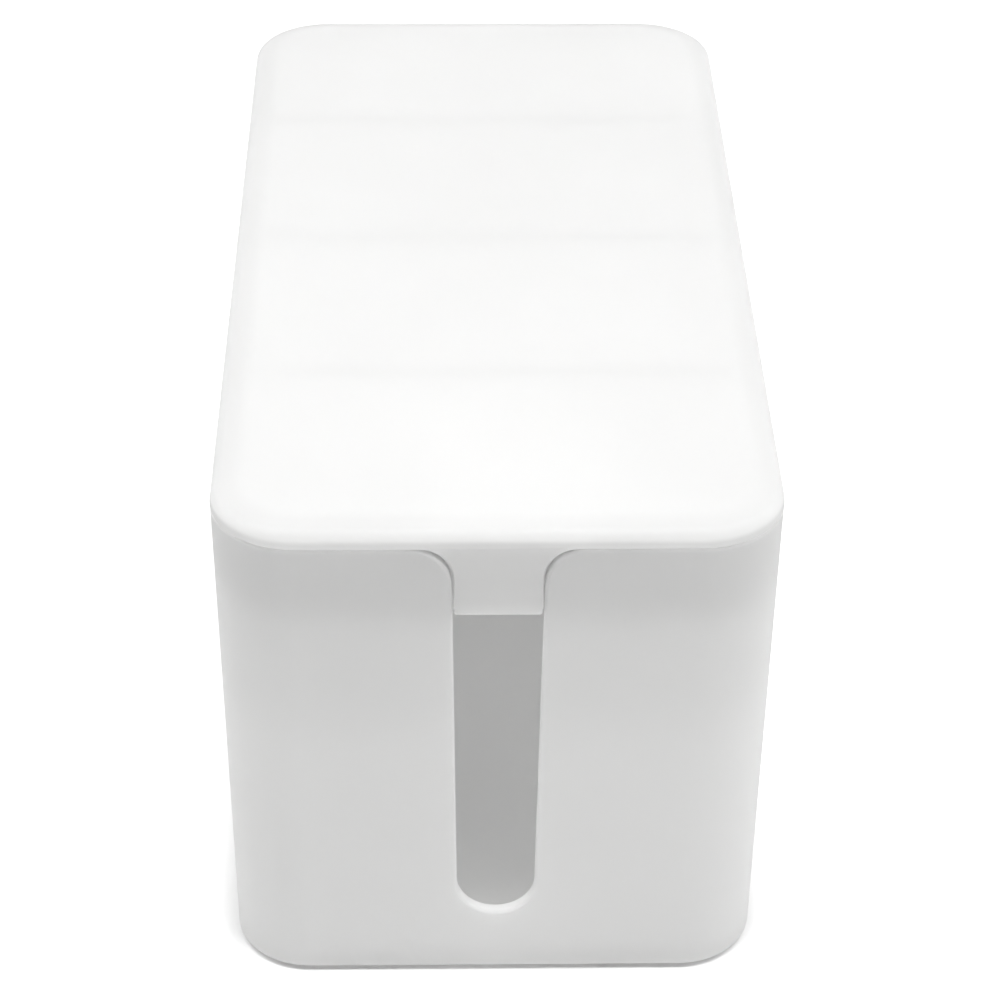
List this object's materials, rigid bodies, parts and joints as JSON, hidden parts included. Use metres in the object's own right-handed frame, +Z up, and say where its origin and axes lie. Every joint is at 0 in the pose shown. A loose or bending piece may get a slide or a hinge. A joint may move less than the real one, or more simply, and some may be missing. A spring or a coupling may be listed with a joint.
{
  "type": "cable management box",
  "caption": "Long white tub with round corners, a lift-off lid and an open U-shaped cable slot in each short end.",
  "frame": {"origin": "centre of the footprint, on the surface that the feet stand on", "axes": "+Z up, the way the lid lifts; the length runs along Y, with the front slot facing -Y; the width runs along X"},
  "size_m": [0.1162, 0.2352, 0.118],
  "materials": {
    "tub_plastic": "satin white moulding",
    "lid_plastic": "satin white moulding",
    "foot_rubber": "matt dark rubber"
  },
  "bodies": {
    "box": {"tub": "tub_plastic", "foot_front_left": "foot_rubber", "foot_front_right": "foot_rubber", "foot_rear_left": "foot_rubber", "foot_rear_right": "foot_rubber"},
    "lid": {"lid": "lid_plastic"}
  },
  "joints": [
    {"name": "lid_lift", "type": "slide", "parent": "box", "child": "lid", "axis": [0, 0, 1], "range_m": [0, 0.06]}
  ]
}
